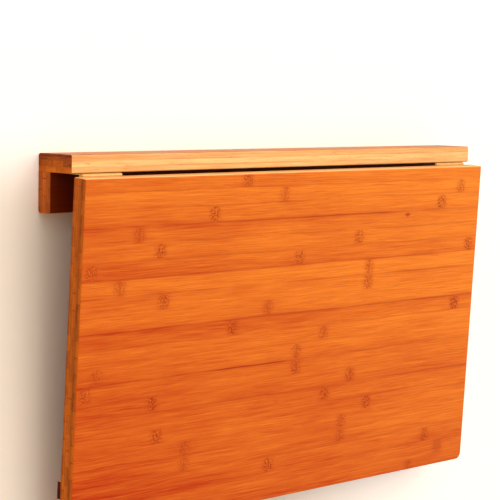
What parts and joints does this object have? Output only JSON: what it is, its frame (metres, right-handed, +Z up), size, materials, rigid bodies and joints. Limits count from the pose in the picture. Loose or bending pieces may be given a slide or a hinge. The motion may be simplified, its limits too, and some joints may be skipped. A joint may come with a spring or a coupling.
{
  "type": "wall mounted drop leaf table",
  "caption": "Wall mounted drop leaf table: a slim shelf rail fixes to the wall and its hinged leaf hangs down or swings up level on folding stays.",
  "frame": {"origin": "middle of the wall board's back face, on the wall", "axes": "+X along the table's width, +Y into the wall, +Z up; the front is -Y"},
  "size_m": [0.6, 0.0706, 0.3712],
  "materials": {
    "bamboo": "satin lacquer, laminated strips",
    "beech": "raw turned wood",
    "brassed_steel": "satin plated",
    "zinc_plated_steel": "satin zinc"
  },
  "bodies": {
    "rail": {"hinge_left_pin": "brassed_steel", "hinge_left_shelf_plate": "brassed_steel", "hinge_left_shelf_screws": "brassed_steel", "hinge_right_pin": "brassed_steel", "hinge_right_shelf_plate": "brassed_steel", "hinge_right_shelf_screws": "brassed_steel", "rail_dowels": "beech", "shelf_board": "bamboo", "stay_left_wall_bracket": "zinc_plated_steel", "stay_left_wall_rivet": "zinc_plated_steel", "stay_right_wall_bracket": "zinc_plated_steel", "stay_right_wall_rivet": "zinc_plated_steel", "wall_board": "bamboo"},
    "leaf": {"batten_screws": "zinc_plated_steel", "hinge_left_leaf_plate": "brassed_steel", "hinge_left_leaf_screws": "brassed_steel", "hinge_right_leaf_plate": "brassed_steel", "hinge_right_leaf_screws": "brassed_steel", "leaf_batten": "bamboo", "leaf_panel": "bamboo", "stay_left_leaf_bracket": "zinc_plated_steel", "stay_left_leaf_rivet": "zinc_plated_steel", "stay_left_leaf_screws": "zinc_plated_steel", "stay_right_leaf_bracket": "zinc_plated_steel", "stay_right_leaf_rivet": "zinc_plated_steel", "stay_right_leaf_screws": "zinc_plated_steel"},
    "stay_left_lower": {"stay_left_lower_arm": "zinc_plated_steel", "stay_left_elbow_rivet_head": "zinc_plated_steel"},
    "stay_left_upper": {"stay_left_upper_arm": "zinc_plated_steel", "stay_left_elbow_rivet_end": "zinc_plated_steel"},
    "stay_right_lower": {"stay_right_lower_arm": "zinc_plated_steel", "stay_right_elbow_rivet_head": "zinc_plated_steel"},
    "stay_right_upper": {"stay_right_upper_arm": "zinc_plated_steel", "stay_right_elbow_rivet_end": "zinc_plated_steel"}
  },
  "joints": [
    {"name": "leaf_hinge", "type": "hinge", "parent": "rail", "child": "leaf", "pos_m": [0, -0.0502, 0.0175], "axis": [-1, 0, 0], "range_deg": [0, 93.2]},
    {"name": "stay_left_wall_pivot", "type": "hinge", "parent": "rail", "child": "stay_left_lower", "pos_m": [-0.235, -0.009, -0.228], "axis": [1, 0, 0], "range_deg": [0, 51.13]},
    {"name": "stay_left_leaf_pivot", "type": "hinge", "parent": "leaf", "child": "stay_left_upper", "pos_m": [-0.235, -0.02852, -0.25391], "axis": [-1, 0, 0], "range_deg": [0, 31.82]},
    {"name": "stay_right_wall_pivot", "type": "hinge", "parent": "rail", "child": "stay_right_lower", "pos_m": [0.235, -0.009, -0.228], "axis": [1, 0, 0], "range_deg": [0, 51.13]},
    {"name": "stay_right_leaf_pivot", "type": "hinge", "parent": "leaf", "child": "stay_right_upper", "pos_m": [0.235, -0.02852, -0.25391], "axis": [-1, 0, 0], "range_deg": [0, 31.82]}
  ],
  "couplings": [
    {"joint": "stay_left_wall_pivot", "follows": "leaf_hinge", "ratio": 0.54841},
    {"joint": "stay_left_leaf_pivot", "follows": "leaf_hinge", "ratio": 0.34124},
    {"joint": "stay_right_wall_pivot", "follows": "leaf_hinge", "ratio": 0.54841},
    {"joint": "stay_right_leaf_pivot", "follows": "leaf_hinge", "ratio": 0.34124}
  ]
}
